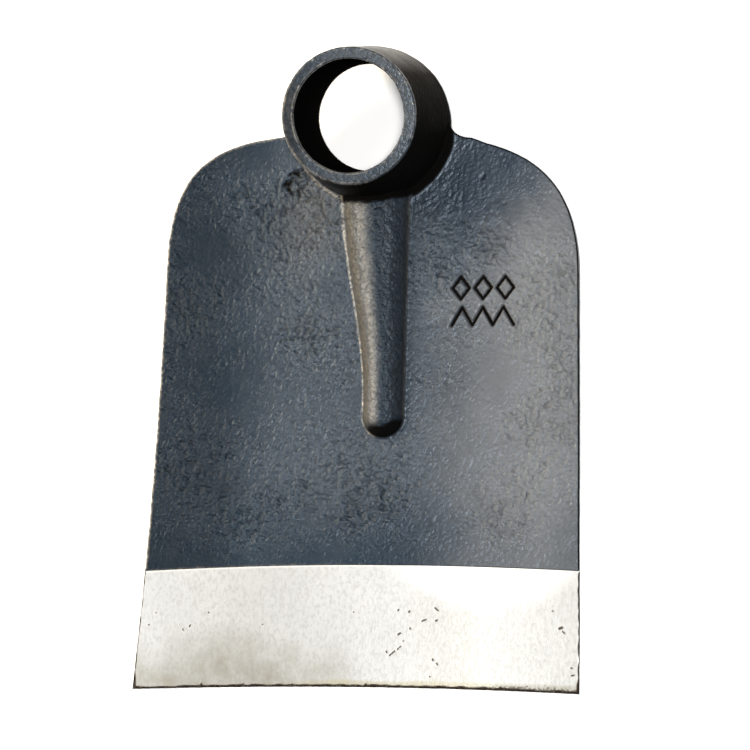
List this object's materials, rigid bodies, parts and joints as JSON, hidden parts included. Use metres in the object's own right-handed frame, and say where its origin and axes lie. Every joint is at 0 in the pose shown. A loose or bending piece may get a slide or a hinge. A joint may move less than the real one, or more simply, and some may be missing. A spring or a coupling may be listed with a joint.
{
  "type": "grub hoe head",
  "caption": "Forged grub hoe head: tapered round eye collar, broad blade with round shoulders, tapering stiffening rib and ground steel cutting edge.",
  "frame": {"origin": "middle of the bounding box's base, on the surface that the head lies on", "axes": "+Z out of the worked face, towards the user; +Y from the cutting edge to the eye; +X to the right"},
  "size_m": [0.165, 0.2384, 0.0495],
  "materials": {
    "dark_forged_steel": "satin blue-black finish over pitted, hammered forge scale, worn to metal on the edges",
    "ground_steel": "bare ground steel with fine grinding lines across the edge, small dark pits and light staining"
  },
  "bodies": {
    "root": {"eye_collar": "dark_forged_steel", "blade_plate": "dark_forged_steel", "stiffening_rib": "dark_forged_steel", "cutting_edge": "ground_steel"}
  },
  "joints": []
}
